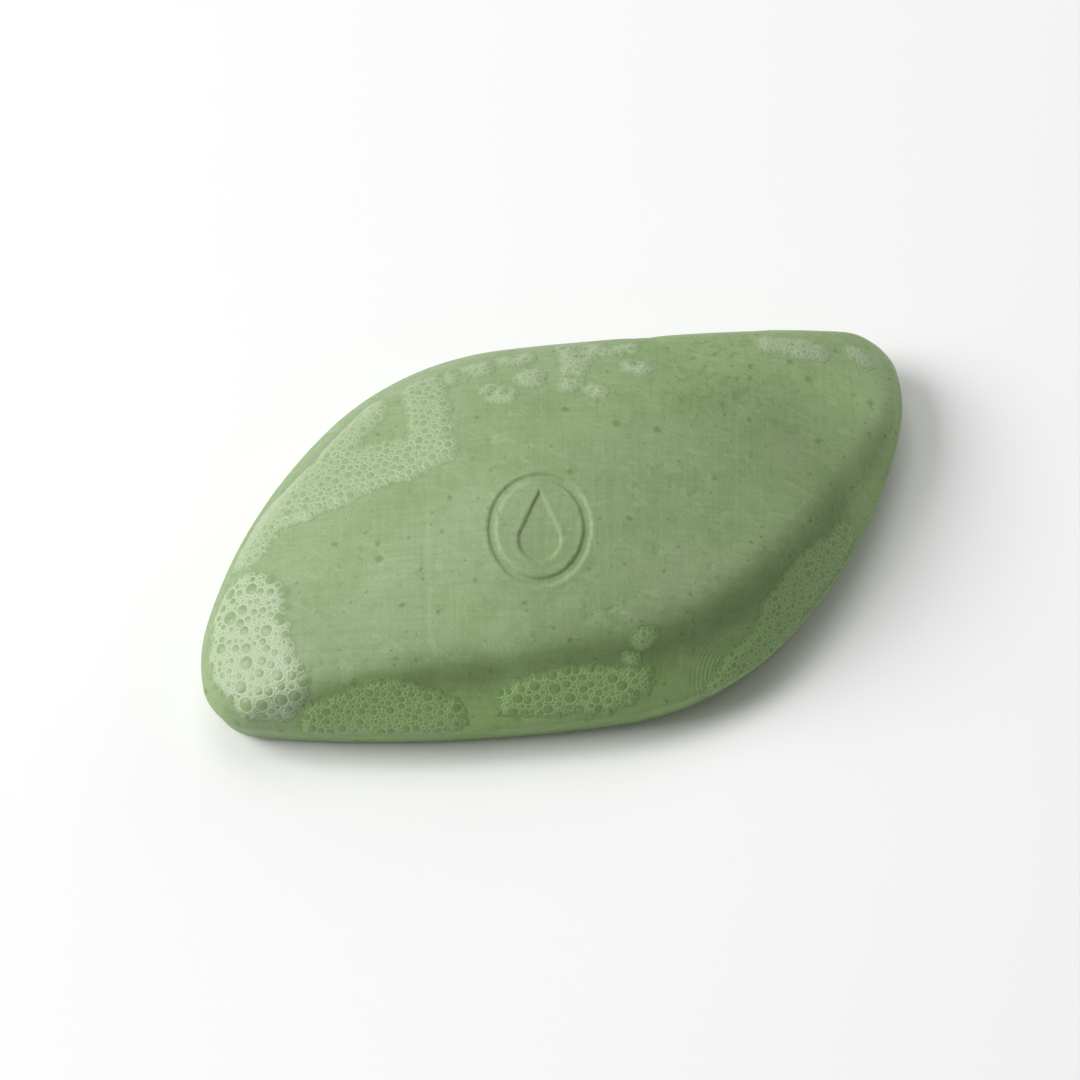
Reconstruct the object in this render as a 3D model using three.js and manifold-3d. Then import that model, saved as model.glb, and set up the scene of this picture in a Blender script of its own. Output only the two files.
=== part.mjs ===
// A stamped, leaf-shaped bar of shaving soap with rafts of wet lather clinging to it.
// Millimetres. +X runs from tip to tip, +Z is up, and the bar rests on its underside.
import * as THREE from 'three';
import { mergeVertices } from 'three/addons/utils/BufferGeometryUtils.js';
import Module from 'manifold-3d';

const wasm = await Module();
wasm.setup();

// ---- Driving dimensions of the bar ----

// Half of the belt outline, as arcs that follow on from each other: radius, and degrees turned.
// The other half is the same half turned by 180 degrees about Z.
const OUTLINE_ARCS = [
  { name: 'end', radius: 20.8, turn: 25.8, steps: 3 },
  { name: 'corner', radius: 7.1, turn: 71.4, steps: 8 },
  { name: 'flat side', radius: 185, turn: 13.7, steps: 8 },
  { name: 'shoulder', radius: 34.9, turn: 39.5, steps: 7 },
  { name: 'round side', radius: 62.2, turn: 29.6, steps: 8 },
];

// The section changes from mid-length to the tips: [at mid-length, at the tips].
const BELT_HEIGHT = [6.1, 5.6];      // widest line of the bar, above the heel
const UNDERCUT = [1.5, 1.2];         // how far the heel sits inside the belt
const RIDGE_RISE = [9.9, 2.2];       // ridge between flank and top face, above the belt
const RIDGE_INSET = [6.1, 0.1];      // ridge, inside the belt
const TAPER_POWER = 2.9;             // how late the section changes on the way to a tip
const CROWN_HEIGHT = 21.8;           // highest point of the top face
const CROWN_SPREAD = 1.63;           // how far out the top face stays level
const CROWN_POWER = 0.95;            // fullness of the top face
const HEEL_RADIUS = 2.1;
const LAND_SCALE = 0.72;             // flat land of the underside, as a share of the heel outline
const COVE_PULL = 0.54;              // height of the cove's control point, as a share of the rise
const SOFTNESS = 2.2;                // rounding of the belt and the ridge by use and water
const BELT_LIP = 0.35;               // crisper edge left along the belt
const BELT_LIP_WIDTH = 0.9;

const SECTION_STEPS = 40;
// Rings of the mesh: which stretch of the section they are on, and how far along it.
const RING_PLACES = [
  [0, 0], [1, 0], [1, 0.33], [1, 0.67], [2, 0], [2, 0.7],
  [3, 0], [3, 0.12], [3, 0.3], [3, 0.52], [3, 0.74], [3, 0.92],
  [4, 0.05], [4, 0.12], [4, 0.22], [4, 0.36], [4, 0.54], [4, 0.74], [4, 0.9],
];

// ---- Driving dimensions of the stamped mark: a drop in an oval ring ----

const MARK_CENTRE = [-6.2, -6.1];
const MARK_TURN = -30.4;             // degrees about Z, from the bar's length
const MARK_DEPTH = 0.5;
const RING_HALF_WIDTH = 6.1;
const RING_HALF_HEIGHT = 6.8;
const RING_LINE = 0.9;
const DROP_RADIUS = 2.5;
const DROP_CENTRE_Y = -1.4;
const DROP_TIP_Y = 4.6;

// ---- Driving dimensions of the lather ----

const LATHER_GAP = 0.3;              // clear space between a raft and the bar
const LATHER_THICKNESS = 0.9;
const BALL_SPACING = 1.15;           // of a raft's local radius

// Each raft is one or more runs of stations on the bar's surface: x, y, z and half width.
const RAFTS = {
  lather_left_end: [[[-39.7, 5.8, 12, 3.4], [-42, 1.3, 11.3, 3.9], [-42.3, -3.5, 11, 3.2]]],
  lather_lower_left: [[[-38.1, -9.3, 7.4, 1.9], [-35.4, -10.4, 8.1, 2.6], [-31.1, -12.3, 8.9, 3.4],
    [-27.6, -14.6, 8.3, 2.6], [-25.1, -16.4, 7.6, 1.6]]],
  lather_front_middle: [[[-17.7, -19.1, 8.7, 1.3], [-13.8, -20.5, 9.1, 2.4], [-9.3, -22.5, 9, 2.8],
    [-5.7, -24.1, 9, 2.3], [-3.5, -24.6, 9.4, 1.5]]],
  lather_right_flank: [[[5.3, -28.5, 5.6, 1.4], [9.1, -27.8, 6.8, 2.2], [13.2, -26.8, 7.2, 2.4],
    [17, -24.7, 8.8, 3], [20.8, -23.1, 9.1, 3], [24.7, -21.6, 8.8, 2.4], [28.7, -19.9, 8.2, 1.6]]],
  lather_upper_left: [
    [[-34.8, 13.9, 11.3, 2], [-30.5, 16.5, 11.7, 2.6], [-26.7, 15.6, 14.7, 2.8],
      [-22.5, 14.1, 16.4, 2.2], [-18.3, 12.9, 17.6, 1.8], [-14.3, 11.2, 18.8, 1.5], [-11.4, 10.5, 19.5, 1.4]],
    [[-22.1, 15.2, 16.2, 1.6], [-19.6, 18.6, 15.6, 1.4], [-14.8, 20.8, 15.4, 1.3]],
    [[-11.1, 11.1, 19.4, 1.3], [-9.2, 15.1, 18.6, 1.2], [-7.6, 19.1, 17.4, 1.2]],
  ],
  lather_edge_1: [[[-3.4, 19, 17.4, 1.5], [-0.1, 18.2, 17.6, 1.4]]],
  lather_edge_2: [[[3.7, 17.7, 17.3, 1.3], [5.1, 17, 17.4, 1.2]]],
  lather_edge_3: [[[3.6, 13.6, 18.9, 1.4], [4.6, 13.2, 18.8, 1.3]]],
  lather_edge_4: [[[-1.2, 13.8, 19.3, 1.4], [-0.2, 12.6, 19.6, 1.3]]],
  lather_edge_5: [
    [[10.3, 15.2, 17.1, 1.7], [10.2, 13.1, 17.9, 1.9], [8.6, 10.9, 18.9, 1.4], [7.3, 9.9, 19.4, 1]],
    [[11.1, 14.7, 17.2, 1.5], [15.1, 12.9, 16.9, 1.4], [17.2, 12.2, 16.7, 1]],
  ],
  lather_edge_6: [[[9.6, 7.5, 19.7, 1.2]]],
  lather_edge_7: [[[15.7, 9.1, 18.1, 1.3], [16.5, 8.2, 18.2, 1.2]]],
  lather_top_right: [[[33.4, 5.4, 14.1, 1.3], [35.8, 3.7, 13.7, 1.5], [38.4, 2, 13, 1.2]]],
  lather_right_tip: [[[42.9, 0.7, 11, 1], [43.6, -0.6, 10.7, 1]]],
  lather_speck_1: [[[-1.7, -22.2, 14.2, 1.1], [-0.8, -22.3, 14.5, 1]]],
  lather_speck_2: [[[-3.2, -22.9, 12, 1]]],
};

// ---- Materials ----

function soapMaterial() {
  return new THREE.MeshStandardMaterial({ color: 0x8fa973, roughness: 0.5, metalness: 0 });
}

function latherMaterial() {
  return new THREE.MeshStandardMaterial({ color: 0xb9cba3, roughness: 0.35, metalness: 0 });
}

// ---- The bar's surface ----

function radians(degrees) {
  return degrees * Math.PI / 180;
}

function direction(angle) {
  return new THREE.Vector2(Math.cos(angle), Math.sin(angle));
}

// Points of the belt outline with their outward normals, tips on the X axis, centred on the origin.
function beltOutline() {
  const half = [];
  const pen = new THREE.Vector2();
  let angle = 0;
  for (const arc of OUTLINE_ARCS) {
    const centre = pen.clone().addScaledVector(direction(angle), -arc.radius);
    for (let i = 0; i < arc.steps; i += 1) {
      const normal = direction(angle + radians(arc.turn) * i / arc.steps);
      half.push({ point: centre.clone().addScaledVector(normal, arc.radius), normal });
    }
    angle += radians(arc.turn);
    pen.copy(centre).addScaledVector(direction(angle), arc.radius);
  }
  const middle = pen.multiplyScalar(0.5);
  for (const { point } of half) point.sub(middle);
  const turned = half.map(({ point, normal }) => ({
    point: point.clone().negate(),
    normal: normal.clone().negate(),
  }));
  const all = [...half, ...turned];
  const tip = all.reduce((best, entry) => (entry.point.length() > best.point.length() ? entry : best));
  const tilt = -tip.point.angle();
  const origin = new THREE.Vector2();
  for (const { point, normal } of all) {
    point.rotateAround(origin, tilt);
    normal.rotateAround(origin, tilt);
  }
  return all;
}

const OUTLINE = beltOutline();
const HALF_LENGTH = Math.max(...OUTLINE.map(({ point }) => point.length()));

// A dimension of the section at one station of the outline.
function sectionValue([mid, tip], { point }) {
  const fullness = 1 - Math.min(1, Math.abs(point.x) / HALF_LENGTH) ** TAPER_POWER;
  return tip + (mid - tip) * fullness;
}

// One point of the surface: the outline moved in by inset, shrunk about the centre, at height z.
function ringPoint({ point, normal }, inset, scale, z) {
  const flat = point.clone().addScaledVector(normal, -inset).multiplyScalar(scale);
  return new THREE.Vector3(flat.x, flat.y, z);
}

// A fine section line at one station, from the underside's land up to the top of the crown,
// and the places of its corners along it.
function sectionLine(station) {
  const undercut = sectionValue(UNDERCUT, station);
  const lift = BELT_HEIGHT[0] - sectionValue(BELT_HEIGHT, station);
  const inset = sectionValue(RIDGE_INSET, station);
  const rise = sectionValue(RIDGE_RISE, station);
  const ridge = BELT_HEIGHT[0] + rise;
  const land = ringPoint(station, undercut + HEEL_RADIUS, LAND_SCALE, 0);
  const heel = ringPoint(station, undercut + HEEL_RADIUS, 1, lift);
  const flare = ringPoint(station, undercut, 1, lift + HEEL_RADIUS);
  const belt = ringPoint(station, 0, 1, BELT_HEIGHT[0]);
  const stretches = [
    (t) => land.clone().lerp(heel, t),
    (t) => {
      const angle = (1 - t) * Math.PI / 2;
      const heelInset = undercut + HEEL_RADIUS * (1 - Math.cos(angle));
      return ringPoint(station, heelInset, 1, lift + HEEL_RADIUS * (1 - Math.sin(angle)));
    },
    (t) => flare.clone().lerp(belt, t),
    (t) => {
      const height = rise * (2 * t * (1 - t) * COVE_PULL + t * t);
      return ringPoint(station, inset * (1 - (1 - t) ** 2), 1, BELT_HEIGHT[0] + height);
    },
    (t) => {
      const scale = 1 - t;
      const crown = (CROWN_HEIGHT - ridge) * (1 - scale ** CROWN_SPREAD) ** CROWN_POWER;
      return ringPoint(station, inset, scale, ridge + crown);
    },
  ];
  const line = [{ point: land, along: 0 }];
  const corners = [0];
  for (const stretch of stretches) {
    for (let i = 1; i <= SECTION_STEPS; i += 1) {
      const last = line[line.length - 1];
      const point = stretch(i / SECTION_STEPS);
      line.push({ point, along: last.along + point.distanceTo(last.point) });
    }
    corners.push(line[line.length - 1].along);
  }
  return { line, corners, outward: station.normal };
}

function smoothStep(value, from, to) {
  return THREE.MathUtils.smoothstep(value, Math.min(from, to), Math.max(from, to));
}

// The point at one place along a section line, softened from the belt to a little past the ridge.
function softPoint({ line, corners, outward }, place) {
  const exact = new THREE.Vector3();
  const soft = new THREE.Vector3();
  let total = 0;
  for (let i = 1; i < line.length; i += 1) {
    const before = line[i - 1];
    const after = line[i];
    if (before.along <= place && place <= after.along) {
      const share = (place - before.along) / (after.along - before.along);
      exact.copy(before.point).lerp(after.point, share);
    }
    const middle = (before.along + after.along) / 2;
    const weight = Math.exp(-0.5 * ((middle - place) / SOFTNESS) ** 2) * (after.along - before.along);
    soft.addScaledVector(before.point, weight / 2).addScaledVector(after.point, weight / 2);
    total += weight;
  }
  soft.divideScalar(total);
  const [, , heelEnd, belt, ridge] = corners;
  const share = smoothStep(place, heelEnd, belt) * (1 - smoothStep(place, ridge + 6, ridge + 10));
  const lip = BELT_LIP * Math.exp(-(((place - belt) / BELT_LIP_WIDTH) ** 2));
  exact.lerp(soft, share);
  exact.x += outward.x * lip;
  exact.y += outward.y * lip;
  return exact;
}

// The rings of the surface from the underside's land up to the top of the crown.
function surfaceRings() {
  const sections = OUTLINE.map(sectionLine);
  return RING_PLACES.map(([stretch, share]) => sections.map((section) => {
    const { corners } = section;
    return softPoint(section, corners[stretch] + (corners[stretch + 1] - corners[stretch]) * share);
  }));
}

// The closed surface of the bar, grown outwards by offset along its normals.
function barSurface(offset) {
  const rings = surfaceRings();
  const count = OUTLINE.length;
  const positions = rings.flat().flatMap((point) => point.toArray());
  const bottom = positions.length / 3;
  const top = bottom + 1;
  positions.push(0, 0, 0, 0, 0, CROWN_HEIGHT);
  const index = [];
  for (let i = 0; i < count; i += 1) {
    const next = (i + 1) % count;
    index.push(bottom, next, i);
    for (let ring = 0; ring < rings.length - 1; ring += 1) {
      const low = ring * count;
      const high = low + count;
      index.push(low + i, low + next, high + next, low + i, high + next, high + i);
    }
    const last = (rings.length - 1) * count;
    index.push(last + i, last + next, top);
  }
  const geometry = new THREE.BufferGeometry();
  geometry.setAttribute('position', new THREE.Float32BufferAttribute(positions, 3));
  geometry.setIndex(index);
  geometry.computeVertexNormals();
  const { position, normal } = geometry.attributes;
  for (let i = 0; i < position.count; i += 1) {
    const grown = new THREE.Vector3().fromBufferAttribute(position, i);
    grown.addScaledVector(new THREE.Vector3().fromBufferAttribute(normal, i), offset);
    position.setXYZ(i, grown.x, grown.y, grown.z);
  }
  return geometry;
}

// ---- Solids ----

function toSolid(geometry) {
  const bare = geometry.clone();
  bare.deleteAttribute('normal');
  bare.deleteAttribute('uv');
  const merged = mergeVertices(bare, 1e-4);
  return new wasm.Manifold(new wasm.Mesh({
    numProp: 3,
    vertProperties: new Float32Array(merged.attributes.position.array),
    triVerts: new Uint32Array(merged.index.array),
  }));
}

function toGeometry(solid) {
  const mesh = solid.getMesh();
  const geometry = new THREE.BufferGeometry();
  geometry.setAttribute('position', new THREE.BufferAttribute(mesh.vertProperties, 3));
  geometry.setIndex(new THREE.BufferAttribute(mesh.triVerts, 1));
  geometry.computeVertexNormals();
  return geometry;
}

// ---- The stamped mark ----

function ringShape() {
  const ring = new THREE.Shape();
  ring.absellipse(0, 0, RING_HALF_WIDTH, RING_HALF_HEIGHT, 0, Math.PI * 2);
  const hole = new THREE.Path();
  const innerWidth = RING_HALF_WIDTH - RING_LINE;
  const innerHeight = RING_HALF_HEIGHT - RING_LINE;
  hole.absellipse(0, 0, innerWidth, innerHeight, 0, Math.PI * 2, true);
  ring.holes.push(hole);
  return ring;
}

// A round drop drawn up to a point along the two tangents from its tip.
function dropShape() {
  const reach = DROP_TIP_Y - DROP_CENTRE_Y;
  const tangent = Math.acos(DROP_RADIUS / reach);
  const start = Math.PI / 2 + tangent;
  const end = Math.PI * 5 / 2 - tangent;
  const drop = new THREE.Shape();
  drop.moveTo(0, DROP_TIP_Y);
  drop.lineTo(DROP_RADIUS * Math.cos(start), DROP_CENTRE_Y + DROP_RADIUS * Math.sin(start));
  drop.absarc(0, DROP_CENTRE_Y, DROP_RADIUS, start, end);
  drop.lineTo(0, DROP_TIP_Y);
  return drop;
}

function markTool(shape) {
  const prism = new THREE.ExtrudeGeometry(shape, {
    depth: CROWN_HEIGHT,
    bevelEnabled: false,
    curveSegments: 14,
  });
  prism.rotateZ(radians(MARK_TURN));
  prism.translate(MARK_CENTRE[0], MARK_CENTRE[1], BELT_HEIGHT[0]);
  return toSolid(prism).subtract(toSolid(barSurface(-MARK_DEPTH)));
}

function soapBar() {
  const billet = toSolid(barSurface(0));
  const stamped = billet.subtract(markTool(ringShape())).subtract(markTool(dropShape()));
  return toGeometry(stamped);
}

// ---- The lather ----

// A layer over the whole bar: each raft is a piece of it.
const latherLayer = toSolid(barSurface(LATHER_GAP + LATHER_THICKNESS))
  .subtract(toSolid(barSurface(LATHER_GAP)));

function ball(x, y, z, radius) {
  const geometry = new THREE.SphereGeometry(radius, 9, 6);
  geometry.translate(x, y, z);
  return toSolid(geometry);
}

// Balls strung along a run of stations, close enough to join into one body.
function stringOfBalls(stations) {
  let string = ball(...stations[0]);
  for (let i = 1; i < stations.length; i += 1) {
    const from = new THREE.Vector4(...stations[i - 1]);
    const to = new THREE.Vector4(...stations[i]);
    const span = Math.hypot(to.x - from.x, to.y - from.y, to.z - from.z);
    const steps = Math.ceil(span / (BALL_SPACING * Math.min(from.w, to.w)));
    for (let step = 1; step <= steps; step += 1) {
      string = string.add(ball(...from.clone().lerp(to, step / steps).toArray()));
    }
  }
  return string;
}

function raft(runs) {
  const blob = runs.map(stringOfBalls).reduce((all, run) => all.add(run));
  return toGeometry(latherLayer.intersect(blob));
}

// ---- Assembly ----

function namedMesh(name, geometry, material) {
  const mesh = new THREE.Mesh(geometry, material);
  mesh.name = name;
  return mesh;
}

const shavingSoap = new THREE.Group();
shavingSoap.add(namedMesh('soap_bar', soapBar(), soapMaterial()));
for (const [name, runs] of Object.entries(RAFTS)) {
  shavingSoap.add(namedMesh(name, raft(runs), latherMaterial()));
}

// The origin is the bottom centre of the whole object's box.
const box = new THREE.Box3().setFromObject(shavingSoap);
const centre = box.getCenter(new THREE.Vector3());
shavingSoap.position.set(-centre.x, -centre.y, -box.min.z);

export default shavingSoap;
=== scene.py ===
"""A stamped bar of green shaving soap with rafts of wet lather clinging to it."""

import math

import bpy
import numpy as np
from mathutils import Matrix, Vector, kdtree, noise
from mathutils.bvhtree import BVHTree


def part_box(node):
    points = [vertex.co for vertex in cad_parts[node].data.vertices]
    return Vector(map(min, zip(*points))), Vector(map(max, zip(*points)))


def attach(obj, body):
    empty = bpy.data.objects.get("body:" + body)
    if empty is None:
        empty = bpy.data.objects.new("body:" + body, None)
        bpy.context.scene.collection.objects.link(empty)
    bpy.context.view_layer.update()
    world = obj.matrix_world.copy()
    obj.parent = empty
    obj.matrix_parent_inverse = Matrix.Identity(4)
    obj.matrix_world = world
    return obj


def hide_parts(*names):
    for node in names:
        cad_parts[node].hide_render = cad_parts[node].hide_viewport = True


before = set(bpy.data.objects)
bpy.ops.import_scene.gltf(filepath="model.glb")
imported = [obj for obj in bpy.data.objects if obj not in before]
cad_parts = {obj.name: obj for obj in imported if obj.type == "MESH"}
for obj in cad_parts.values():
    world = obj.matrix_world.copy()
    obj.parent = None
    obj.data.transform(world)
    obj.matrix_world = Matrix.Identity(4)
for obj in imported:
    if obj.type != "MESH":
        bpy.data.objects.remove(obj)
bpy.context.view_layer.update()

MM = 0.001
BAR_LO, BAR_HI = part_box("soap_bar")
BAR_CENTRE = np.array([(BAR_LO.x + BAR_HI.x) / 2, (BAR_LO.y + BAR_HI.y) / 2, 0.0]) / MM

# ---- The bar's form, in millimetres about BAR_CENTRE ----

# Half of the belt outline as arcs: radius and degrees turned. The other half is it turned by 180 degrees.
OUTLINE_ARCS = ((20.8, 25.8), (7.1, 71.4), (185.0, 13.7), (34.9, 39.5), (62.2, 29.6))

# Section sizes. A pair is the size at mid-length and at the tips.
BELT_HEIGHT = (6.1, 5.6)
UNDERCUT = (1.5, 1.2)
RIDGE_RISE = (9.9, 2.2)
RIDGE_INSET = (6.1, 0.1)
TAPER_POWER = 2.9
CROWN_HEIGHT = 21.8
CROWN_SPREAD = 1.63
CROWN_POWER = 0.95
HEEL_RADIUS = 2.1
LAND_SCALE = 0.72
COVE_PULL = 0.54
SOFTNESS = 2.2
BELT_LIP = 0.35
BELT_LIP_WIDTH = 0.9

# Patches of painted light and shade on the soap: place, width and change of brightness.
PAINTED_LIGHT_SHADE_PATCHES = (
    (27.4, -9.9, 15.8, 6.5, -0.13),
    (25.4, -1.7, 17.2, 5.5, -0.07),
    (-35.8, -1.4, 13.8, 5.0, -0.09),
    (-19.2, -7.6, 17.8, 6.0, 0.07),
    (-18.3, -13.2, 16.1, 5.0, 0.08),
    (39.5, -5.0, 12.0, 5.5, 0.20),
    (33.0, -16.0, 9.5, 3.5, 0.22),
    (-15.5, -15.3, 14.3, 3.5, 0.15),
)
# Where a painted shade tint, a more saturated green, is laid on: below the ridge, less so towards the left
# tip and the far side, and a little over the right half of the top.
SHADE_TINT_FROM = 0.93
SHADE_TINT_BLEND = 0.09
LEFT_TINT_FADE_X = -47
LEFT_TINT_FADE_BLEND = 14
FAR_TINT_FADE_Y = 4
FAR_TINT_FADE_BLEND = 8
FAR_SHADE_TINT = 0.3
RIGHT_SHADE_TINT = 0.36
RIGHT_SHADE_TINT_X = 2
RIGHT_SHADE_TINT_BLEND = 26
# Shade in the cove: where between belt and ridge, how wide, how dark.
COVE_MIDDLE = 0.66
COVE_WIDTH = 0.27
COVE_SHADE = 0.30
COVE_FROM = 0.96
COVE_BLEND = 0.05
# The spot of blotchy soap near the right tip.
BLOTCH_CENTRE = (25.0, 3.0, 16.5)
BLOTCH_WIDTH = 9.0

# Unevenness of the whole bar: height, size of its features, seed.
RUMPLES = ((0.20, 17, 1), (0.10, 7.5, 2), (0.035, 3.1, 5))
# Fine lines on the top face: start and end in plan, width, depth and how much each wavers.
DIE_LINES = (
    ((-16.2, 4.0), (-25.0, -12.2), 0.28, 0.07, 0.10),
    ((-38.6, 6.0), (-23.4, -4.2), 0.22, 0.035, 0.12),
    ((-23.0, 11.4), (-19.7, 9.8), 0.22, 0.06, 0.05),
    ((17.5, 5.5), (21.5, -3.5), 0.2, 0.05, 0.25),
    ((11.2, 6.4), (14.0, 2.2), 0.2, 0.05, 0.2),
)
# Soft furrows, and a ridge where the depth is negative: start, end, width and depth.
FURROWS = (
    ((-3.0, -22.6, 13.2), (16.5, -22.4, 12.2), 0.7, 0.16),
    ((2.0, -24.6, 10.6), (12.0, -25.0, 10.0), 1.1, -0.16),
    ((18.7, 17.2, 11.5), (21.9, 11.0, 15.7), 1.2, 0.22),
    ((-4.2, -18.2, 17.2), (-2.4, -18.4, 17.0), 0.3, 0.12),
)
# A shallow hollow in the front flank.
LOBE_CENTRE = (-17.9, -17.0, 10.7)
LOBE_WIDTH = 2.4
LOBE_DEPTH = 0.28
# Small pits all over.
PIT_COUNT = 420
PIT_SIZE = (0.28, 0.6)
PIT_DEPTH = (0.03, 0.11)

# Contour rings that a thumb left on the flank: their middle and the step between them.
RINGS_CENTRE = (9.2, -27.9, 5.6)
RINGS_STEP = 0.56

# The stamped mark: a drop in an oval ring.
MARK_CENTRE = np.array([-6.2, -6.1])
MARK_TURN = math.radians(-30.4)
MARK_DEPTH = 0.28
MARK_WALL = 0.24
RING_HALF_WIDTH = 6.1
RING_HALF_HEIGHT = 6.8
RING_LINE = 0.9
DROP_RADIUS = 2.5
DROP_CENTRE_Y = -1.4
DROP_TIP_Y = 4.6
MARK_FIELD = 8.4

# Mesh density.
STATIONS = 480
UNDERSIDE_RINGS = 10
HEEL_RINGS = 6
FLARE_RINGS = 6
COVE_RINGS = 22
CROWN_RINGS = 88
MARK_RINGS = 54


def smooth(t):
    t = np.clip(t, 0, 1)
    return t * t * (3 - 2 * t)


def turned(points, angle):
    c, s = math.cos(angle), math.sin(angle)
    return points @ np.array([[c, s], [-s, c]])


def belt_outline(count):
    """Points of the belt and their outward normals, count of them at even steps."""
    arcs = [(r, math.radians(t)) for r, t in OUTLINE_ARCS]
    total = sum(r * t for r, t in arcs)
    steps = total * np.arange(count // 2) / (count // 2)
    pen, angle, done = np.zeros(2), 0.0, 0.0
    points, normals = [], []
    for radius, turn in arcs:
        here = steps[(steps >= done - 1e-9) & (steps < done + radius * turn - 1e-9)]
        a = angle + (here - done) / radius
        spoke = np.stack([np.cos(a), np.sin(a)], 1)
        centre = pen - radius * np.array([math.cos(angle), math.sin(angle)])
        points.append(centre + radius * spoke)
        normals.append(spoke)
        angle += turn
        done += radius * turn
        pen = centre + radius * np.array([math.cos(angle), math.sin(angle)])
    half, facing = np.concatenate(points) - pen / 2, np.concatenate(normals)
    points, normals = np.concatenate([half, -half]), np.concatenate([facing, -facing])
    tip = points[np.argmax(np.linalg.norm(points, axis=1))]
    tilt = -math.atan2(tip[1], tip[0])
    return turned(points, tilt), turned(normals, tilt)


BELT, OUTWARD = belt_outline(STATIONS)
HALF_LENGTH = np.linalg.norm(BELT, axis=1).max()


def section(pair, x):
    mid, tip = pair
    return tip + (mid - tip) * (1 - np.minimum(1, np.abs(x) / HALF_LENGTH) ** TAPER_POWER)


RIDGE = BELT - OUTWARD * section(RIDGE_INSET, BELT[:, 0])[:, None]
RIDGE_Z = BELT_HEIGHT[0] + section(RIDGE_RISE, BELT[:, 0])


def ridge_around():
    """The ridge by its angle about the bar's middle: angles over three turns, reach and height."""
    angles = np.arctan2(RIDGE[:, 1], RIDGE[:, 0])
    order = np.argsort(angles)
    turn = np.concatenate([angles[order] - 2 * math.pi, angles[order], angles[order] + 2 * math.pi])
    return turn, np.tile(np.linalg.norm(RIDGE[order], axis=1), 3), np.tile(RIDGE_Z[order], 3)


RIDGE_TURN, RIDGE_REACH, RIDGE_HEIGHT = ridge_around()


def ridge_at(plan):
    """How far out towards the ridge plan points are, 1 being on it, and the ridge's height there."""
    angle = np.arctan2(plan[..., 1], plan[..., 0])
    scale = np.linalg.norm(plan, axis=-1) / np.interp(angle, RIDGE_TURN, RIDGE_REACH)
    return scale, np.interp(angle, RIDGE_TURN, RIDGE_HEIGHT)


def crown_z(plan):
    """Height of the top face over plan points inside the ridge."""
    scale, ridge = ridge_at(plan)
    fullness = (1 - np.minimum(1, scale) ** CROWN_SPREAD) ** CROWN_POWER
    return ridge + (CROWN_HEIGHT - ridge) * fullness


def profile(i):
    """A fine section line at station i, from the underside's centre to the mark's centre.
    Returns its points and the place of its corners along it."""
    point, out, x = BELT[i], OUTWARD[i], BELT[i, 0]
    under, lift = section(UNDERCUT, x), BELT_HEIGHT[0] - section(BELT_HEIGHT, x)

    def at(inset, z, scale=1.0):
        flat = (point - np.multiply.outer(np.atleast_1d(inset), out)) * np.reshape(scale, (-1, 1))
        return np.column_stack([flat, np.broadcast_to(z, len(flat))])

    land = at(under + HEEL_RADIUS, 0.0, LAND_SCALE)
    t = np.linspace(0, 1, 60)[:, None]
    parts = [land * t]
    heel_start = at(under + HEEL_RADIUS, lift)
    parts.append(land + (heel_start - land) * t[1:])
    a = np.linspace(math.pi / 2, 0, 12)[1:]
    parts.append(at(under + HEEL_RADIUS * (1 - np.cos(a)), lift + HEEL_RADIUS * (1 - np.sin(a))))
    belt = at(0.0, BELT_HEIGHT[0])
    heel_end = parts[-1][-1:]
    parts.append(heel_end + (belt - heel_end) * t[1:])
    c = np.linspace(0, 1, 60)[1:]
    rise = section(RIDGE_RISE, x) * (2 * c * (1 - c) * COVE_PULL + c * c)
    parts.append(at(section(RIDGE_INSET, x) * (1 - (1 - c) ** 2), BELT_HEIGHT[0] + rise))
    u = np.linspace(0, 1, 260)[1:, None] ** 1.15
    plan = RIDGE[i] + (MARK_CENTRE - RIDGE[i]) * u
    parts.append(np.column_stack([plan, crown_z(plan)]))
    return np.concatenate(parts), np.cumsum([len(p) for p in parts]) - 1


def bar_grid():
    """The bar's smooth surface as rings of points, [ring, station], from the underside up."""
    spread = np.linspace(0, 1, CROWN_RINGS + 1)[1:]
    grid = []
    for i in range(STATIONS):
        line, corners = profile(i)
        steps = np.linalg.norm(np.diff(line, axis=0), axis=1)
        along = np.concatenate([[0], np.cumsum(steps)])
        land, heel, heel_end, belt, ridge = along[corners[:5]]
        reach = np.linalg.norm(RIDGE[i] - MARK_CENTRE)
        radii = np.concatenate([
            MARK_FIELD + (reach - MARK_FIELD) * (1 - spread),
            MARK_FIELD * np.linspace(1, 0, MARK_RINGS + 1)[1:-1],
        ])
        crown = np.arange(corners[4], len(line))
        away = np.linalg.norm(line[crown, :2] - MARK_CENTRE, axis=1)
        places = np.concatenate([
            np.linspace(0, land, UNDERSIDE_RINGS + 1)[1:],
            np.linspace(land, heel, 6)[1:],
            np.linspace(heel, heel_end, HEEL_RINGS + 1)[1:],
            np.linspace(heel_end, belt, FLARE_RINGS + 1)[1:],
            np.linspace(belt, ridge, COVE_RINGS + 1)[1:],
            np.interp(radii, away[::-1], along[crown][::-1]),
        ])
        exact = np.stack([np.interp(places, along, line[:, k]) for k in range(3)], 1)
        gap = (places[:, None] - (along[1:] + along[:-1])[None] / 2) / SOFTNESS
        weight = np.exp(-0.5 * gap**2) * steps
        soft = weight @ ((line[1:] + line[:-1]) / 2) / weight.sum(1)[:, None]
        share = smooth((places - heel_end) / (belt - heel_end)) * (1 - smooth((places - ridge - 6) / 4))
        ring = exact + (soft - exact) * share[:, None]
        ring[:, :2] += np.outer(BELT_LIP * np.exp(-(((places - belt) / BELT_LIP_WIDTH) ** 2)), OUTWARD[i])
        grid.append(ring)
    return np.stack(grid, 1)


def grid_faces(rings, stations):
    """Quads over a grid that closes on itself along its stations."""
    r, s = np.meshgrid(np.arange(rings - 1), np.arange(stations), indexing="ij")
    n = (s + 1) % stations
    low, high = r * stations, (r + 1) * stations
    return np.stack([low + s, low + n, high + n, high + s], -1).reshape(-1, 4)


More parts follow.
